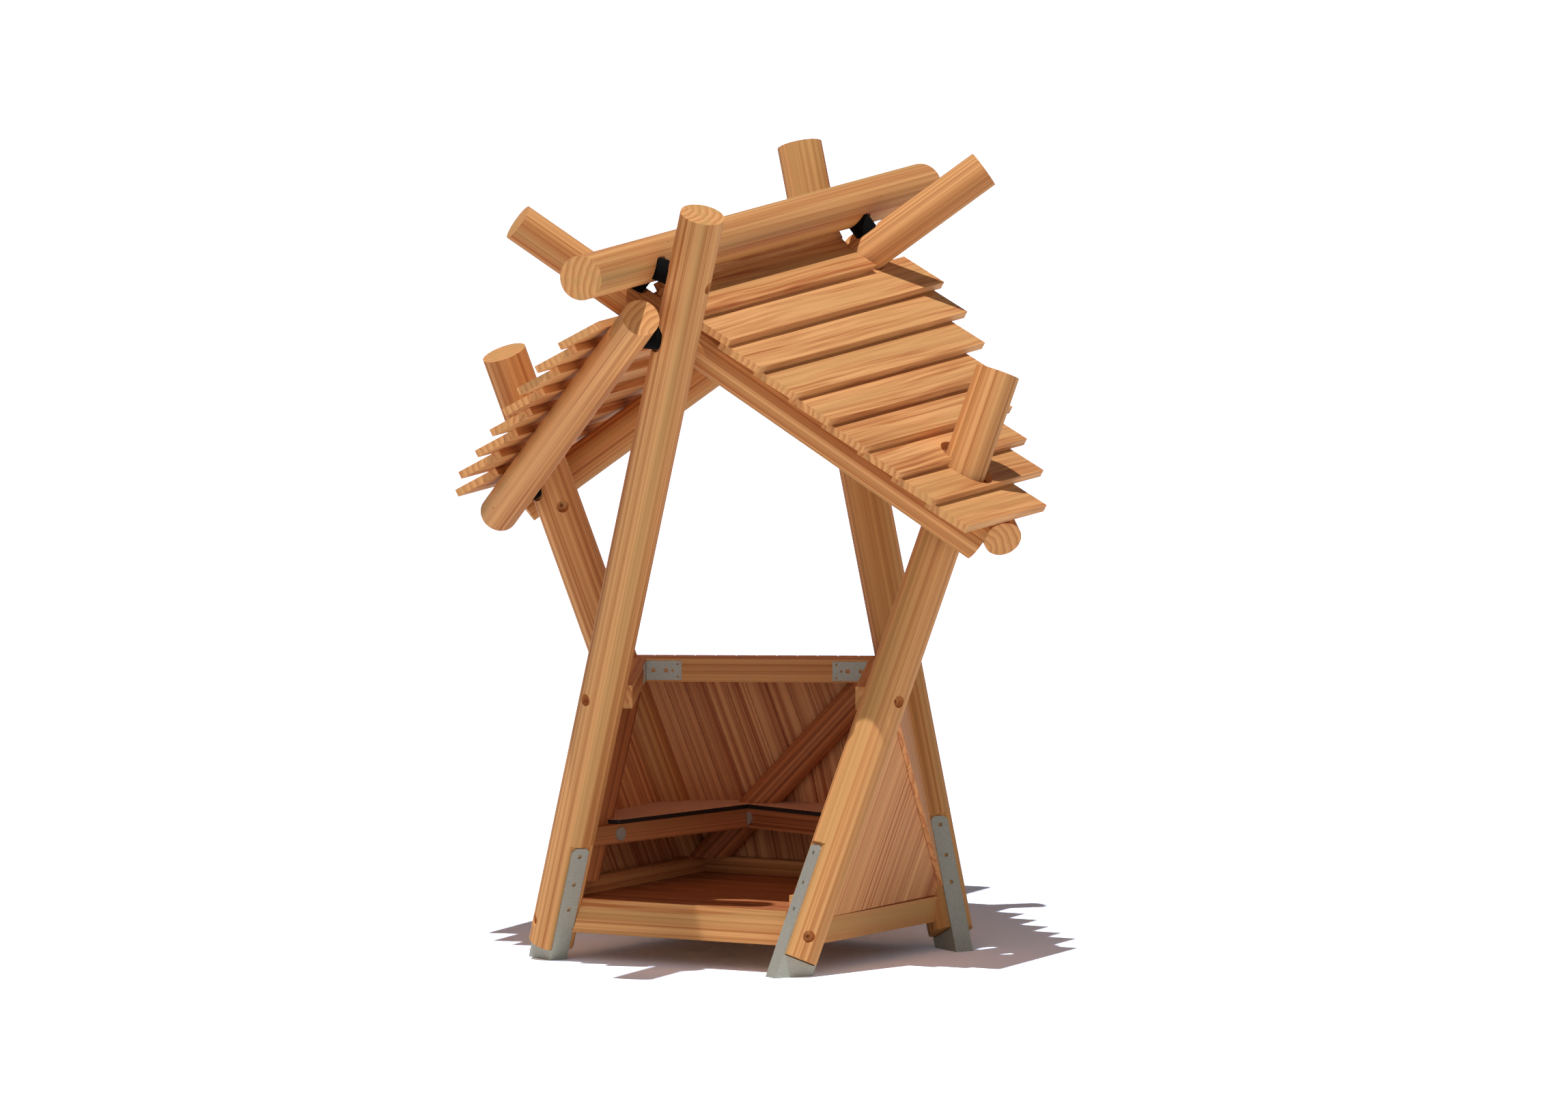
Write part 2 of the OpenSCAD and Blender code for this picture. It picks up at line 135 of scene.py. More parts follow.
def srgb(r, g, b):
    """A colour as it is read off a screen, 0 to 255, as the linear colour a shader takes."""
    def lin(c):
        c = c / 255
        return c / 12.92 if c <= 0.04045 else ((c + 0.055) / 1.055) ** 2.4
    return (lin(r), lin(g), lin(b), 1)


print("larch as linear colour:", [round(c, 3) for c in srgb(222, 160, 105)])

# %% [markdown]
# Wood is a stack of yearly rings round a pith. The pattern is a solid, made from
# the distance to the pith, so that a log's side and its sawn end belong together:
# these logs are cut beside the pith, and an end shows five or six wide arcs. X
# runs along the grain. Rings alone look too even on a side, so noise lies over
# them, stretched far along X, because real streaks stay straight for a metre.

# %% A way to make node groups
def new_group(name, takes, gives):
    g = bpy.data.node_groups.new(name, "ShaderNodeTree")
    for label, kind, value in takes:
        s = g.interface.new_socket(label, in_out="INPUT", socket_type=kind)
        if value is not None:
            s.default_value = value
    for label, kind in gives:
        g.interface.new_socket(label, in_out="OUTPUT", socket_type=kind)
    return g, g.nodes.new("NodeGroupInput"), g.nodes.new("NodeGroupOutput")


FLOAT, COLOR, VECTOR = "NodeSocketFloat", "NodeSocketColor", "NodeSocketVector"


def stretched(g, xyz, along, across, detail, roughness=0.5):
    """Noise that changes 'along' times a metre with the grain and 'across' times over it."""
    rates = (along, across, across)
    place = add(g, "ShaderNodeCombineXYZ", {k: maths(g, "MULTIPLY", xyz[k], rates[k]) for k in range(3)})
    settings = {"Vector": place.outputs[0], "Scale": 1.0, "Detail": detail, "Roughness": roughness}
    return add(g, "ShaderNodeTexNoise", settings).outputs[0]


def centred(g, noise, strength):
    """Noise that swings to both sides of zero."""
    return maths(g, "MULTIPLY", maths(g, "SUBTRACT", noise, 0.5), strength)


def between(g, value, low, high):
    """0 below low, 1 above high, smooth in between."""
    return add(g, "ShaderNodeMapRange", {0: value, 1: low, 2: high}, interpolation_type="SMOOTHSTEP").outputs[0]


print("noise and group helpers ready")

# %% [markdown]
# Boards that lie side by side in one piece share one solid. Step and Start tell
# the group how wide a board is and where the first begins, and a white noise of
# the board's number then moves each board to other wood and changes its tone.
# Flame lets the grain sway, as it does in a board that is cut near the bark.

# %% Every board its own wood
BOARD_TONE = 0.30
SHIFT_ALONG, SHIFT_ACROSS, SHIFT_DEEP = 9.0, 0.07, 0.03
SWAY = 0.016


def own_wood(g, given):
    """The place in the wood, moved by the board's number, and that board's change of tone."""
    x, y, depth = add(g, "ShaderNodeSeparateXYZ", {0: given["Vector"]}).outputs
    many = maths(g, "LESS_THAN", given["Step"], 1.0)
    number = maths(g, "DIVIDE", maths(g, "SUBTRACT", y, given["Start"]), given["Step"])
    number = maths(g, "MULTIPLY", maths(g, "FLOOR", number), many)
    key = maths(g, "ADD", maths(g, "MULTIPLY", number, 3.71), given["Seed"])
    chance = add(g, "ShaderNodeTexWhiteNoise", {"W": key}, noise_dimensions="1D")
    luck_x, luck_y, luck_tone = add(g, "ShaderNodeSeparateColor", {0: chance.outputs["Color"]}).outputs
    x = maths(g, "ADD", x, maths(g, "MULTIPLY", luck_x, SHIFT_ALONG))
    middle = maths(g, "MULTIPLY", maths(g, "ADD", number, 0.5), given["Step"])
    middle = maths(g, "ADD", middle, given["Start"])
    y = maths(g, "SUBTRACT", y, maths(g, "MULTIPLY", middle, many))
    y = total(g, y, given["Pith Y"], maths(g, "MULTIPLY", luck_y, SHIFT_ACROSS))
    depth = total(g, depth, given["Pith Z"], maths(g, "MULTIPLY", luck_tone, SHIFT_DEEP))
    sway = stretched(g, (x, y, depth), 1.1, 4.0, 1.0)
    y = maths(g, "ADD", y, centred(g, sway, maths(g, "MULTIPLY", given["Flame"], SWAY)))
    x = maths(g, "MULTIPLY", x, maths(g, "ADD", 1.0, given["Flame"]))
    return (x, y, depth), centred(g, luck_tone, maths(g, "MULTIPLY", many, BOARD_TONE))


print("a board's tone changes by up to", BOARD_TONE / 2)

# %% [markdown]
# Through one year the wood goes from pale to dark and then jumps back, which a
# colour ramp over the fraction of a ring draws. A sawn end shows these rings
# with specks of open pores, a side shows mostly streaks. Patches of khaki are
# where sun and rain have begun to grey the wood.

# %% The larch pattern, as a node group
RING_SEAM = 0.25
RING_TONES = ((0.10, 0.0), (0.36, 0.10), (0.70, 0.66), (0.90, 0.92))
SIDE_TONE, SIDE_RINGS = 0.25, 0.28
BROAD_STREAKS, NARROW_STREAKS, DARK_LINES = 1.9, 2.3, 0.40
END_TONE, END_SPECKS, END_CLEAR = 0.08, 2.2, 0.45
KHAKI_SHARE = 0.55


def yearly_rings(g, wood, given):
    _, y, depth = wood
    wobble = centred(g, stretched(g, wood, 0.5, 22.0, 1.0), maths(g, "MULTIPLY", given["Bend"], 4.0))
    square = maths(g, "ADD", maths(g, "MULTIPLY", y, y), maths(g, "MULTIPLY", depth, depth))
    radius = maths(g, "ADD", maths(g, "SQRT", square), wobble)
    year = add(g, "ShaderNodeValToRGB", {0: maths(g, "FRACT", maths(g, "DIVIDE", radius, given["Ring"]))})
    stops = year.color_ramp.elements
    stops[0].position, stops[0].color = 0.0, (RING_SEAM, RING_SEAM, RING_SEAM, 1)
    stops[1].position, stops[1].color = 1.0, (RING_SEAM, RING_SEAM, RING_SEAM, 1)
    for position, level in RING_TONES:
        stops.new(position).color = (level, level, level, 1)
    return year.outputs[0]


def make_larch_rings():
    takes = [("Vector", VECTOR, None), ("Light", COLOR, (0.7, 0.35, 0.15, 1)),
             ("Dark", COLOR, (0.4, 0.15, 0.05, 1)), ("Khaki", COLOR, (0.5, 0.28, 0.11, 1)),
             ("Ring", FLOAT, 0.022), ("Pith Y", FLOAT, 0.12), ("Pith Z", FLOAT, 0.02), ("Bend", FLOAT, 0.004),
             ("Step", FLOAT, 10.0), ("Start", FLOAT, 0.0), ("Seed", FLOAT, 0.0), ("End", FLOAT, 0.0),
             ("Flame", FLOAT, 0.0)]
    gives = [("Color", COLOR), ("Roughness", FLOAT), ("Height", FLOAT)]
    g, a, z = new_group("larch_rings", takes, gives)
    given = a.outputs
    wood, tone = own_wood(g, given)
    rings = yearly_rings(g, wood, given)
    specks = stretched(g, wood, 6.0, 380.0, 2.0, 0.6)
    broad = centred(g, stretched(g, wood, 0.25, 30.0, 2.0, 0.55), BROAD_STREAKS)
    narrow = centred(g, stretched(g, wood, 0.30, 95.0, 2.5, 0.6), NARROW_STREAKS)
    lines = maths(g, "MULTIPLY", between(g, stretched(g, wood, 0.40, 150.0, 1.0), 0.57, 0.70), DARK_LINES)
    side = total(g, SIDE_TONE, maths(g, "MULTIPLY", rings, SIDE_RINGS), broad, narrow, lines, tone)
    pores = maths(g, "SUBTRACT", maths(g, "MULTIPLY", specks, END_SPECKS), END_CLEAR)
    sawn = total(g, END_TONE, maths(g, "MULTIPLY", tone, 0.5), maths(g, "MULTIPLY", rings, pores))
    amount = add(g, "ShaderNodeMix", {0: given["End"], 2: side, 3: sawn}, data_type="FLOAT").outputs[0]
    fresh = mixed(g, amount, given["Light"], given["Dark"])
    patches = between(g, stretched(g, wood, 0.20, 17.0, 1.0), 0.46, 0.64)
    aged = mixed(g, maths(g, "MULTIPLY", patches, KHAKI_SHARE), fresh, given["Khaki"])
    g.links.new(aged, z.inputs["Color"])
    g.links.new(maths(g, "ADD", 0.52, maths(g, "MULTIPLY", specks, 0.16)), z.inputs["Roughness"])
    relief = maths(g, "ADD", maths(g, "MULTIPLY", rings, 0.5), maths(g, "MULTIPLY", specks, 0.4))
    g.links.new(relief, z.inputs["Height"])
    return g


LARCH = make_larch_rings()
print(LARCH.name, "has", len(LARCH.nodes), "nodes")

# %% [markdown]
# A timber's finish only has to know where its grain runs. A Mapping node in
# Texture mode undoes a place and a turn, so the shader sees every log as if it
# lay along X. Planks that are built here bring their own grain along instead.
# Light, dark and khaki are set for each kind of wood, since planed boards are paler
# than logs. Wood under the roof gets a darker, redder set, which is painted shade.

# %% A larch material for any direction
LOG = srgb(240, 178, 116), srgb(184, 110, 58), srgb(204, 158, 98)
BOARD = srgb(242, 180, 118), srgb(186, 110, 60), srgb(220, 166, 106)
WALL = srgb(246, 180, 122), srgb(180, 98, 58), srgb(222, 158, 104)
# a darker, redder copy of the log colours for wood inside the house: painted shade under the roof
INSIDE_SHADE = srgb(214, 138, 88), srgb(152, 80, 44), srgb(172, 114, 68)
COLOUR_NAMES = "Light", "Dark", "Khaki"
SAWN_ABOVE = 0.6
WOOD_SPECULAR = 0.22


def grain_frame(origin, along, up):
    """A frame whose x lies along the grain and z as near up as it can."""
    x = Vector(along).normalized()
    y = Vector(up).cross(x).normalized()
    m = Matrix((x, y, x.cross(y))).transposed().to_4x4()
    return Matrix.Translation(origin) @ m


def grain_and_end(t, place):
    """The grain's own coordinates, and a mask of the sawn ends."""
    if place is None:
        end = add(t, "ShaderNodeAttribute", attribute_name="sawn").outputs["Fac"]
        return add(t, "ShaderNodeAttribute", attribute_name="grain").outputs["Vector"], end
    seen = add(t, "ShaderNodeTexCoord").outputs["Object"]
    turned = add(t, "ShaderNodeMapping", {0: seen}, vector_type="TEXTURE")
    turned.inputs["Location"].default_value = place.to_translation()
    turned.inputs["Rotation"].default_value = place.to_euler()
    faces = {0: add(t, "ShaderNodeNewGeometry").outputs["Normal"], 1: place.to_3x3().col[0]}
    lengthways = add(t, "ShaderNodeVectorMath", faces, operation="DOT_PRODUCT").outputs["Value"]
    return turned.outputs[0], maths(t, "GREATER_THAN", maths(t, "ABSOLUTE", lengthways), SAWN_ABOVE)


def larch(name, place=None, colours=LOG, **values):
    m = bpy.data.materials.new(name)
    m.use_nodes = True
    t = m.node_tree
    shader = t.nodes["Principled BSDF"]
    where, end = grain_and_end(t, place)
    wood = add(t, "ShaderNodeGroup", {"Vector": where, "End": end}, node_tree=LARCH)
    for label, colour in zip(COLOUR_NAMES, colours):
        wood.inputs[label].default_value = colour
    for key, value in values.items():
        wood.inputs[key.replace("_", " ")].default_value = value
    bump = add(t, "ShaderNodeBump", {"Height": wood.outputs["Height"], "Strength": 0.25, "Distance": 0.0006})
    t.links.new(wood.outputs["Color"], shader.inputs["Base Color"])
    t.links.new(wood.outputs["Roughness"], shader.inputs["Roughness"])
    t.links.new(bump.outputs[0], shader.inputs["Normal"])
    shader.inputs["Specular IOR Level"].default_value = WOOD_SPECULAR
    return m


def larch_parts(material):
    """Tree, pattern node, grain coordinates and shader of a larch material."""
    t = material.node_tree
    wood = [n for n in t.nodes if n.type == "GROUP"][0]
    return t, wood, wood.inputs["Vector"].links[0].from_socket, t.nodes["Principled BSDF"]


def dress(node, material):
    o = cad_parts[node]
    for s in o.material_slots:
        s.material = material
    if not o.material_slots:
        o.data.materials.append(material)


print("materials so far:", len(bpy.data.materials))

# %% [markdown]
# A milled log is a true cylinder, but its pith hardly ever sits in the middle.
# An offset pith is what gives the long stripes of the real legs, so each log
# gets its own offset and its own seed.

# %% Logs
def on_roof(v, u, c, side):
    """Point of a slope: v down it, u along the ridge, c off it; side 1 is the left slope."""
    x = v * cos(ROOF_PITCH) + c * sin(ROOF_PITCH)
    z = c * cos(ROOF_PITCH) - v * sin(ROOF_PITCH) + RIDGE_Z
    return Matrix.Rotation(ROOF_TURN + pi * side, 3, "Z") @ Vector((x, u, z))


# both ends of a rafter, as v and u
RAFTERS = {"long": ((-0.372, -0.955), (1.238, -0.209)), "short": ((0.053, 1.043), (1.250, -0.035))}
RAFTER_C = -(RIDGE_D / 2 + LOG_GAP + RAFTER_D / 2)
NEAREST_PITH, FARTHEST_PITH = 0.10, 0.14
RIDGE_PITH_TURN = 0.2
STEEP = 0.8

logs = {}
for i, name in enumerate(("leg_front_left", "leg_front_right", "leg_back_right", "leg_back_left")):
    logs[name] = (leg_at(i, 0), leg_at(i, 1))
for side, hand in enumerate(("right", "left")):
    for kind, ends in RAFTERS.items():
        logs["%s_rafter_%s" % (kind, hand)] = [on_roof(v, u, RAFTER_C, side) for v, u in ends]
ridge = Matrix.Rotation(ROOF_TURN, 3, "Z") @ Vector((0, 1, 0))
logs["ridge_log"] = (Vector((0, 0, RIDGE_Z)), Vector((0, 0, RIDGE_Z)) + ridge)

luck = random.Random(7)
for seed, (name, (a, b)) in enumerate(logs.items()):
    up = UP if abs((b - a).normalized().z) < STEEP else Vector((1, 0, 0))
    turn = RIDGE_PITH_TURN if name == "ridge_log" else luck.uniform(0, 2 * pi)
    off = luck.uniform(NEAREST_PITH, FARTHEST_PITH)
    dress(name, larch("larch_" + name, grain_frame(a, b - a, up),
                      Pith_Y=off * cos(turn), Pith_Z=off * sin(turn), Seed=seed * 1.3))
print("logs dressed:", len(logs))

# %% [markdown]
# The roof boards and the floor take the Step value, so each board shows its own
# piece of wood. The floor is ribbed decking. A sine across the boards makes the
# ribs, as relief and as painted shade between them, but only on faces that look
# up. Faces that look up take the darker inside colours, painted shade under the
# roof, and faces that look out take the colours of the logs.

# %% Roof boards and floor
HAIR = 0.001
FLOOR_GAP = 0.004
FLOOR_FAR_EDGE = 0.432
FLOOR_COUNT = 7
RIB_PITCH, RIB_DEPTH, RIB_SHADE = 0.008, 0.0012, 0.30
FACES_UP = 0.5

for side, hand in enumerate(("right", "left")):
    down = on_roof(1, 0, 0, side) - on_roof(0, 0, 0, side)
    along = Matrix.Rotation(ROOF_TURN + pi * side, 3, "Z") @ Vector((0, -1, 0))
    place = grain_frame(on_roof(0, 0, 0, side), along, along.cross(down))
    dress("roof_boards_" + hand, larch("larch_roof_boards_" + hand, place, BOARD, Pith_Y=0.05, Pith_Z=0.09,
                                       Flame=3.0, Step=BOARD_STEP, Start=FIRST_BOARD + HAIR, Seed=40 + side))


def level(angle):
    return Vector((cos(angle), sin(angle), 0))


def add_ribs(decking):
    t, wood, grain, shader = larch_parts(decking)
    across = add(t, "ShaderNodeSeparateXYZ", {0: grain}).outputs[1]
    ribs = maths(t, "SINE", maths(t, "MULTIPLY", across, 2 * pi / RIB_PITCH))
    ribbed = add(t, "ShaderNodeBump", {"Height": ribs, "Strength": 0.9, "Distance": RIB_DEPTH})
    t.links.new(shader.inputs["Normal"].links[0].from_socket, ribbed.inputs["Normal"])
    t.links.new(ribbed.outputs[0], shader.inputs["Normal"])
    # faces that look up get the darker inside colours as painted shade under the roof; the rest keep the log
    # colours
    on_top = maths(t, "GREATER_THAN", upward(t), FACES_UP)
    for label, outer, in_shade in zip(COLOUR_NAMES, LOG, INSIDE_SHADE):
        t.links.new(mixed(t, on_top, outer, in_shade), wood.inputs[label])
    # painted shade in the valleys between the ribs, on the up-facing faces only
    valley_shade = maths(t, "MULTIPLY", maths(t, "SUBTRACT", 0.6, ribs), RIB_SHADE)
    shaded = mixed(t, maths(t, "MULTIPLY", valley_shade, on_top), wood.outputs["Color"], INSIDE_SHADE[1])
    t.links.new(shaded, shader.inputs["Base Color"])


floor_turn = turn_at(BEAM_Z + BEAM_H / 2)
floor_place = grain_frame((0, 0, 0), level(floor_turn), UP)
floor_step = (BEAM_OUT + FLOOR_FAR_EDGE + FLOOR_GAP) / FLOOR_COUNT
decking = larch("larch_floor_boards", floor_place, INSIDE_SHADE, Pith_Z=-0.12, Flame=2.0,
                Step=floor_step, Start=-BEAM_OUT - FLOOR_GAP / 2, Seed=60)
add_ribs(decking)
dress("floor_boards", decking)
print("roof boards and floor dressed; floor turned %.1f degrees" % (floor_turn * 180 / pi))

# %% [markdown]
# The beams under the floor form a ring of four timbers in one node, two along
# each direction. Where a point is farther out lengthways than across, it lies on
# one of the cross beams, and the shader swaps its two level coordinates.

# %% Floor beams
for name in ("floor_beams", "skirting"):
    m = larch("larch_" + name, floor_place, Pith_Y=0.47, Pith_Z=-0.15, Seed=61)
    t, wood, straight, _ = larch_parts(m)
    xyz = add(t, "ShaderNodeSeparateXYZ", {0: straight}).outputs
    across = add(t, "ShaderNodeCombineXYZ", {0: xyz[1], 1: xyz[0], 2: xyz[2]}).outputs[0]
    is_cross = maths(t, "GREATER_THAN", maths(t, "ABSOLUTE", xyz[0]), maths(t, "ABSOLUTE", xyz[1]))
    both = add(t, "ShaderNodeMix", {0: is_cross, 4: straight, 5: across}, data_type="VECTOR")
    t.links.new(both.outputs[1], wood.inputs["Vector"])
    dress(name, m)
print("floor beams and skirting dressed")

# %% [markdown]
# Rails, braces and the rails under the bench are single timbers, so each only
# needs its own direction. The rails follow the square through the legs at their
# own height, which has turned further than the floor, and a brace runs down the
# diagonal of its wall.

# %% Rails, braces and bench timbers
RAIL_IN = 0.388
SEAT_CORNER, SEAT_START = Vector((-0.238, 0.329, 0.38)), Vector((-0.318, -0.254, 0.38))
SEAT_RIGHT = Vector((0.9, -0.168, 0))

rail_turn = turn_at(RAIL_TOP - RAIL_H / 2)
for i, name in ((1, "rail_right"), (2, "rail_back"), (3, "rail_left")):
    turn = rail_turn + radians(90 * i)
    middle = Matrix.Rotation(turn, 3, "Z") @ Vector((0, -RAIL_IN, RAIL_TOP - RAIL_H / 2))
    place = grain_frame(middle, level(turn), UP)
    dress(name, larch("larch_" + name, place, Pith_Y=0.06, Pith_Z=0.07, Seed=70 + i))
# the braces stand inside and take the darker inside colours, painted shade under the roof
for i, name in ((1, "brace_right"), (2, "brace_back"), (3, "brace_left")):
    a, b = leg_at(i, RAIL_TOP), leg_at(i + 1, WALL_FOOT)
    place = grain_frame(a, b - a, UP)
    dress(name, larch("larch_" + name, place, INSIDE_SHADE, Pith_Y=0.05, Pith_Z=0.10, Seed=80 + i))
# the bench timbers stand inside and take the darker inside colours, painted shade under the roof
for name, along in (("bench_apron_left", SEAT_CORNER - SEAT_START), ("bench_apron_right", SEAT_RIGHT)):
    place = grain_frame(SEAT_CORNER, along, UP)
    dress(name, larch("larch_" + name, place, INSIDE_SHADE, Pith_Y=0.05, Pith_Z=0.09, Seed=len(name)))
print("rails, braces and bench timbers dressed; rails turned %.1f degrees" % (rail_turn * 180 / pi))

# %% [markdown]
# Zinc on hot-dipped steel freezes in small crystals that scatter light
# differently. Cells of random grey give that speckle. The spacers are plain
# black rubber, and the seat is a laminate whose dark core shows at its edge.

# %% Steel, rubber and laminate
ZINC_DARK, ZINC_LIGHT = srgb(158, 161, 152), srgb(200, 202, 194)
SEAT_FACE, SEAT_EDGE = srgb(238, 198, 176), srgb(34, 28, 25)
CRYSTALS = 620.0


def plain(name, color, rough, metal=0.0):
    m = bpy.data.materials.new(name)
    m.use_nodes = True
    s = m.node_tree.nodes["Principled BSDF"]
    s.inputs["Base Color"].default_value = color
    s.inputs["Roughness"].default_value = rough
    s.inputs["Metallic"].default_value = metal
    return m, m.node_tree, s


zinc, t, s = plain("galvanised_steel", ZINC_LIGHT, 0.5, 0.35)
place = add(t, "ShaderNodeTexCoord").outputs["Object"]
crystal = add(t, "ShaderNodeTexVoronoi", {"Vector": place, "Scale": CRYSTALS})
spots = add(t, "ShaderNodeValToRGB", {0: crystal.outputs["Color"]})
spots.color_ramp.elements[0].color = ZINC_DARK
spots.color_ramp.elements[1].color = ZINC_LIGHT
t.links.new(spots.outputs[0], s.inputs["Base Color"])
rubber, _, s = plain("black_rubber", srgb(4, 4, 4), 0.9)
s.inputs["Specular IOR Level"].default_value = 0.15
disc_steel, _, _ = plain("disc_steel", srgb(186, 182, 172), 0.45, 0.3)

laminate, t, s = plain("seat_laminate", SEAT_FACE, 0.5)
is_face = maths(t, "GREATER_THAN", maths(t, "ABSOLUTE", upward(t)), FACES_UP)
t.links.new(mixed(t, is_face, SEAT_EDGE, SEAT_FACE), s.inputs["Base Color"])

for name in ("foot_front_left", "foot_front_right", "foot_back_right", "foot_back_left", "rail_brackets"):
    dress(name, zinc)
dress("log_spacers", rubber)
dress("bench_discs", disc_steel)
dress("bench_seat", laminate)
print("metal, rubber and laminate dressed")

# %% [markdown]
# Each wall is folded along its diagonal into two flat triangles. The planks of
# the lower one run along the first leg, those of the upper one along the second.
# The upper planks end a little past the fold and the lower ones as much before
# it, as at a lap. A plank is the triangle clipped to a strip. Its corners carry
# the grain's own coordinates as a mesh attribute, a face attribute marks its sawn
# ends, and a small bevel leaves the thin shadow line of a real plank joint.

# %% Clipping a triangle to a plank
PLANK_W = 0.060
PLANK_GAP = 0.0012
FIRST_PLANK = 0.062
EDGE = 0.0010
SAWN_BELOW = 0.97


def clip(poly, point, normal):
    """The part of a flat polygon on the side of a line that the normal points to."""
    kept = []
    for a, b in zip(poly, poly[1:] + poly[:1]):
        da, db = (a - point) @ normal, (b - point) @ normal
        if da >= 0:
            kept.append(a)
        if (da < 0) != (db < 0):
            kept.append(a + (b - a) * (da / (da - db)))
    return kept


def moved_fold(flat, still, gap):
    """The triangle with the edge across from corner 'still' moved in by gap, or out past the fold."""
    q, m, n = flat[still], flat[(still + 1) % 3], flat[(still + 2) % 3]
    edge = (n - m).normalized()
    inset = 1 - gap / abs((q - m).cross(edge))
    tri = [q + (p - q) * inset for p in flat]
    if (tri[1] - tri[0]).cross(tri[2] - tri[0]) < 0:
        tri.reverse()
    return clip(tri, flat[2], Vector((0, -1))) if gap < 0 else tri


print("planks are %.0f mm wide" % (PLANK_W * 1000))

# %% [markdown]
# A triangle is laid flat first, with its first edge along X, so that clipping is
# a matter of two coordinates. The planks are then lifted back into the wall.

# %% The planks of a wall
def plank_wall(name, a, b, c, still, leg_line, gap):
    """Planks that fill triangle a b c, side by side from the leg line on."""
    ex = (b - a).normalized()
    ey = ((c - a) - ex * ((c - a) @ ex)).normalized()
    out = ex.cross(ey)
    if out.x * (a + b).x + out.y * (a + b).y < 0:
        out = -out
    flat = [Vector(((p - a) @ ex, (p - a) @ ey)) for p in (a, b, c)]
    tri = moved_fold(flat, still, gap)
    p0, p1 = (Vector(((p - a) @ ex, (p - a) @ ey)) for p in leg_line)
    along = (p1 - p0).normalized()
    side = Vector((-along.y, along.x))
    if ((flat[0] + flat[1] + flat[2]) / 3 - p0) @ side < 0:
        side = -side
    verts, faces, grain, sawn = [], [], [], []
    k = 0
    while True:
        low = FIRST_PLANK + k * PLANK_W
        poly = clip(clip(tri, p0 + side * low, side), p0 + side * (low + PLANK_W - PLANK_GAP), -side)
        if len(poly) < 3:
            break
        start, count = len(verts), len(poly)
        shift = Vector((luck.uniform(0, 9), luck.uniform(-0.05, 0.05), luck.uniform(0.02, 0.06)))
        for lift in (-WALL_T / 2, WALL_T / 2):
            for p in poly:
                verts.append(a + ex * p.x + ey * p.y + out * lift)
                grain.append(Vector(((p - p0) @ along, (p - p0) @ side - low - PLANK_W / 2, lift)) + shift)
        faces.append([start + j for j in reversed(range(count))])
        faces.append([start + count + j for j in range(count)])
        sawn += [0.0, 0.0]
        for j in range(count):
            r = (j + 1) % count
            faces.append([start + j, start + r, start + count + r, start + count + j])
            sawn.append(float(abs((poly[r] - poly[j]).normalized() @ along) < SAWN_BELOW))
        k += 1
    mesh = bpy.data.meshes.new(name)
    mesh.from_pydata(verts, [], faces)
    if ex.cross(ey) @ out < 0:
        mesh.flip_normals()
    values = mesh.attributes.new("grain", "FLOAT_VECTOR", "POINT")
    values.data.foreach_set("vector", [c for g in grain for c in g])
    mesh.attributes.new("sawn", "FLOAT", "FACE").data.foreach_set("value", sawn)
    o = bpy.data.objects.new(name, mesh)
    bpy.context.collection.objects.link(o)
    bevel = o.modifiers.new("edge", "BEVEL")
    bevel.width, bevel.segments, bevel.limit_method = EDGE, 1, "ANGLE"
    return o, k


wall_wood = larch("larch_wall_planks", None, WALL, Pith_Y=0.0, Pith_Z=0.06)
for i, hand in ((1, "right"), (2, "back"), (3, "left")):
    foot, head = (leg_at(i, WALL_FOOT), leg_at(i, RAIL_TOP))
    foot2, head2 = (leg_at(i + 1, WALL_FOOT), leg_at(i + 1, RAIL_TOP))
    for part, tri, still, line, gap in (("lower", (foot, foot2, head), 0, (foot, head), FOLD_LAP),
                                        ("upper", (head, head2, foot2), 1, (foot2, head2), -FOLD_LAP)):
        planks, count = plank_wall("planks_%s_%s" % (hand, part), *tri, still, line, gap)
        planks.data.materials.append(wall_wood)
        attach(planks, "root")
        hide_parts("wall_%s_%s" % (hand, part))
        print(planks.name, count, "planks")

# %% [markdown]
# Under the ridge log the top boards are wider than in the model, and the left
# slope has one more narrow board on them. Together they close the gap that would
# else let the sky through. These strips carry on the planes of the boards below
# them, and take over their lap and their grain.

# %% The boards under the ridge
BOARD_T, BOARD_W = 0.024, 0.155
LAP_RISE = 0.0245
LAP = asin(LAP_RISE / BOARD_STEP)
LIFT = BOARD_W * sin(LAP) + 0.0003 - (RIDGE_D / 2 + LOG_GAP)
TOP_REACH = 0.092, 0.1495
STRIP_REACH = -0.010, 0.024
STRIP_ROUND = 0.0015
DOWNWARD = 2.0
BOX_SIDES = [(0, 2, 3, 1), (4, 5, 7, 6), (0, 1, 5, 4), (2, 6, 7, 3), (1, 3, 7, 5), (0, 4, 6, 2)]


def faces_down(edge):
    """Whether both faces at an edge turn more than two radians away from up."""
    return min(f.normal.angle(UP) for f in edge.link_faces) >= DOWNWARD


def top_strip(name, side, low, reach, ends, material, rounding=0.0):
    """A strip of board: reach gives its two distances from the lower edge, ends its four ends."""
    mesh = bpy.data.meshes.new(name)
    corners = []
    for w, (u0, u1) in zip(reach, ends):
        for u in (u0, u1):
            for off in (0.0, BOARD_T):
                v = low - w * cos(LAP) - off * sin(LAP)
                corners.append(on_roof(v, u, LIFT - w * sin(LAP) + off * cos(LAP), side))
    mesh.from_pydata(corners, [], BOX_SIDES)
    b = bmesh.new()
    b.from_mesh(mesh)
    bmesh.ops.recalc_face_normals(b, faces=b.faces)
    if rounding:
        edges = [e for e in b.edges if not faces_down(e)]
        bmesh.ops.bevel(b, geom=edges, offset=rounding, segments=2, affect="EDGES")
    b.to_mesh(mesh)
    b.free()
    o = bpy.data.objects.new(name, mesh)
    bpy.context.collection.objects.link(o)
    o.data.materials.append(material)
    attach(o, "root")
    print(name, [round(c, 3) for c in o.dimensions])


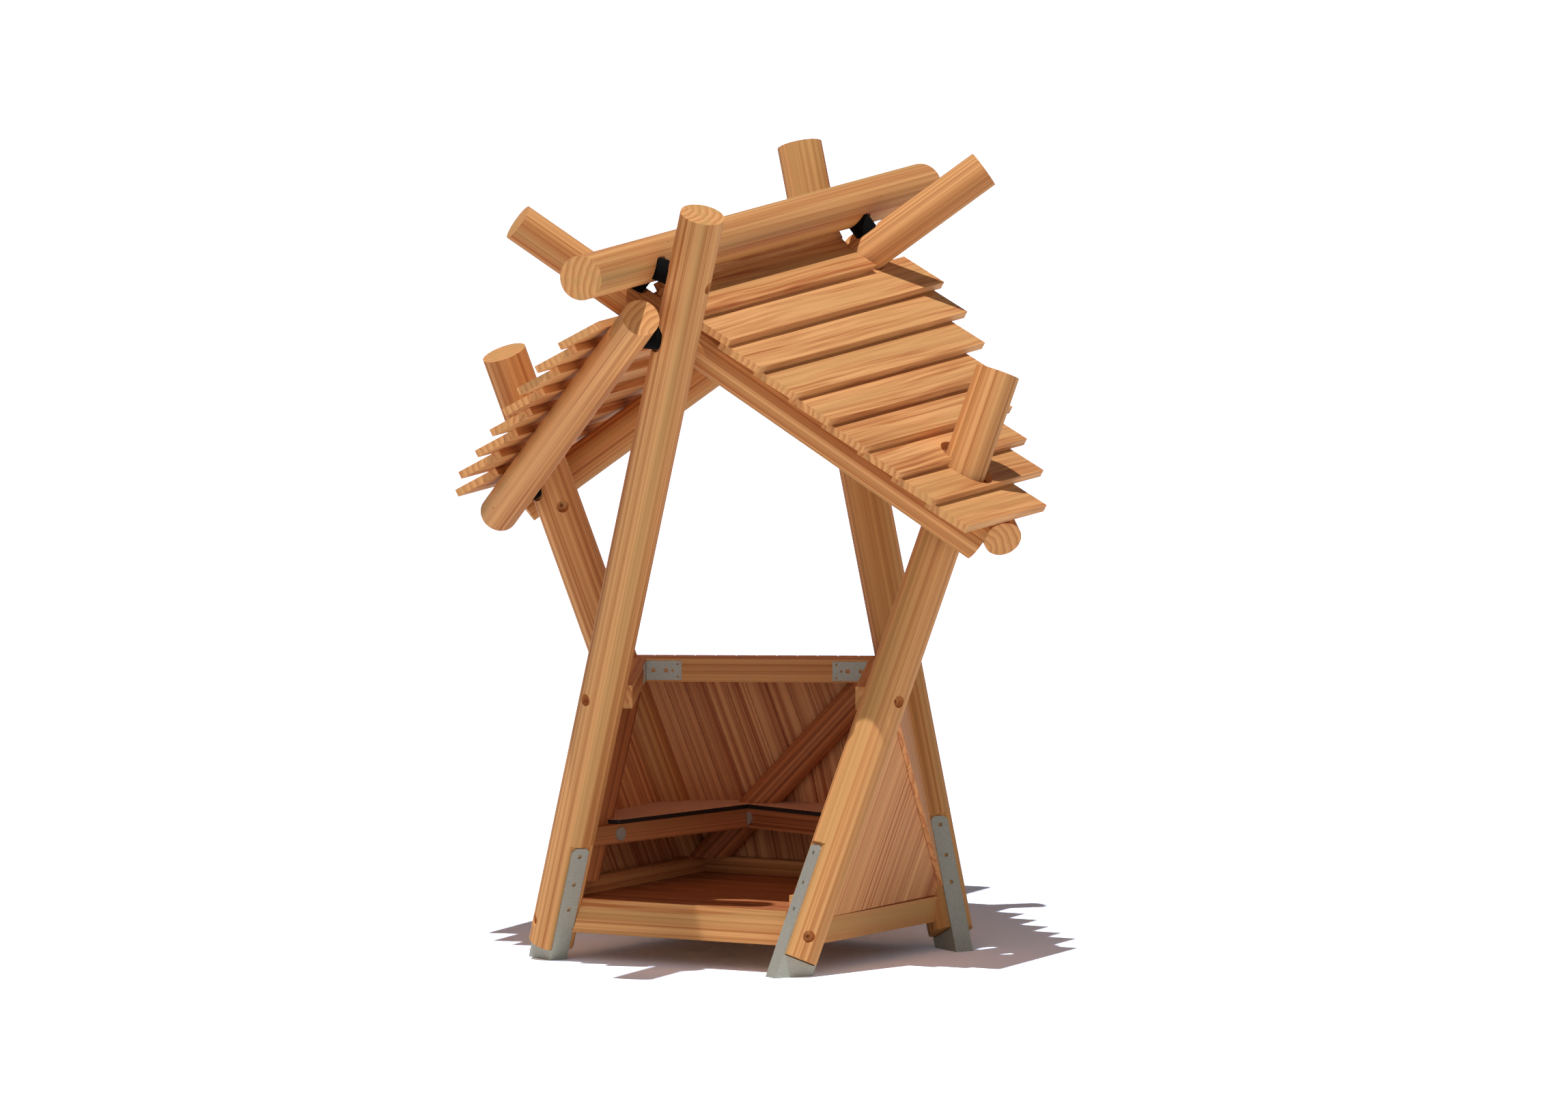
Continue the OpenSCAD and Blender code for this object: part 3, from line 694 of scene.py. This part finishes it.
strips = {hand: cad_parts["roof_boards_" + hand].data.materials[0] for hand in ("right", "left")}
top_strip("top_board_right", 0, FIRST_BOARD, TOP_REACH, ((-0.735, 0.700), (-0.735, 0.742)), strips["right"])
top_strip("top_board_left", 1, FIRST_BOARD, TOP_REACH, ((-0.735, 0.700), (-0.742, 0.700)), strips["left"])
top_strip("ridge_strip", 1, FIRST_BOARD - BOARD_STEP, STRIP_REACH, ((-0.742, 0.700), (-0.750, 0.700)),
          strips["left"], STRIP_ROUND)

# %% [markdown]
# The picture was taken from so far off that parallel lines stay parallel, so
# the camera is orthographic. Its turn and tilt come from the picture, and its
# scale from the diameter of the logs.

# %% Camera
TURN = radians(34.44)
TILT = radians(6.436)
IMAGE_W, PIXELS_PER_METRE = 2296, 471.4
AIM = Vector((0.0847, 0.0581, 1.2501))
DISTANCE = 12
right = Vector((cos(TURN), sin(TURN), 0))
look = Vector((-sin(TURN) * cos(TILT), cos(TURN) * cos(TILT), -sin(TILT)))
eye = bpy.data.cameras.new("camera")
eye.type = "ORTHO"
eye.ortho_scale = IMAGE_W / PIXELS_PER_METRE
eye.clip_end = 60
camera = bpy.data.objects.new("camera", eye)
facing = Matrix((right, right.cross(look), -look)).transposed().to_4x4()
camera.matrix_world = Matrix.Translation(AIM - look * DISTANCE) @ facing
bpy.context.collection.objects.link(camera)
bpy.context.scene.camera = camera
print("camera sees %.3f m across" % eye.ortho_scale)

# %% [markdown]
# The shadow of the roof lies nearly under it, so the sun is very high, a little
# in front and to the left. Upright logs would stay dull under it alone, so a
# very wide soft lamp shines on them from the front.

# %% Lamps
SUN_TRAVEL = 0.07, 0.26, 1.0
FILL_TRAVEL = 0.05, 0.9, 0.02
SUN_ENERGY, SUN_SPREAD = 2.8, 0.6
FILL_ENERGY, FILL_SPREAD = 0.60, 100
back = Vector((-sin(TURN), cos(TURN), 0))


def lamp(name, travel, energy, spread):
    """A sun whose light travels that far to the right, back and down in the picture."""
    light = bpy.data.lights.new(name, "SUN")
    light.energy, light.angle = energy, radians(spread)
    o = bpy.data.objects.new(name, light)
    way = right * travel[0] + back * travel[1] - UP * travel[2]
    o.rotation_euler = way.to_track_quat("-Z", "Y").to_euler()
    bpy.context.collection.objects.link(o)


lamp("sun", SUN_TRAVEL, SUN_ENERGY, SUN_SPREAD)
lamp("soft_fill", FILL_TRAVEL, FILL_ENERGY, FILL_SPREAD)
print("lamps:", len(bpy.data.lights))

# %% [markdown]
# Wood in the shade is dark and red in the picture, so the world gives hardly any
# light of its own. Only the camera sees it white, and reflections see a part of
# that. The ground throws a near white light up under the roof. To the camera
# alone it is brighter than white, so it vanishes and still keeps the shadow.

# %% World and ground
WORLD_LIGHT, WORLD_GLOSS = 0.05, 0.22
GROUND_BOUNCE, GROUND_SEEN = (0.97, 0.96, 0.95, 1), (1.75, 1.95, 2.45, 1)
world = bpy.data.worlds.new("studio")
bpy.context.scene.world = world
world.use_nodes = True
w = world.node_tree
sky = w.nodes["Background"]
sky.inputs["Color"].default_value = (1.0, 0.98, 0.95, 1)
path = add(w, "ShaderNodeLightPath").outputs
seen = maths(w, "ADD", path["Is Camera Ray"], maths(w, "MULTIPLY", path["Is Glossy Ray"], WORLD_GLOSS))
strength = maths(w, "ADD", WORLD_LIGHT, maths(w, "MULTIPLY", seen, 1 - WORLD_LIGHT))
w.links.new(strength, sky.inputs["Strength"])

bpy.ops.mesh.primitive_plane_add(size=60)
ground = bpy.context.object
ground.name = "ground"
pale, t, s = plain("pale_ground", (1, 1, 1, 1), 1.0)
s.inputs["Specular IOR Level"].default_value = 0.0
straight = add(t, "ShaderNodeLightPath").outputs["Is Camera Ray"]
t.links.new(mixed(t, straight, GROUND_BOUNCE, GROUND_SEEN), s.inputs["Base Color"])
ground.data.materials.append(pale)
bpy.context.scene.view_settings.view_transform = "Standard"
print("key light, world and ground set")
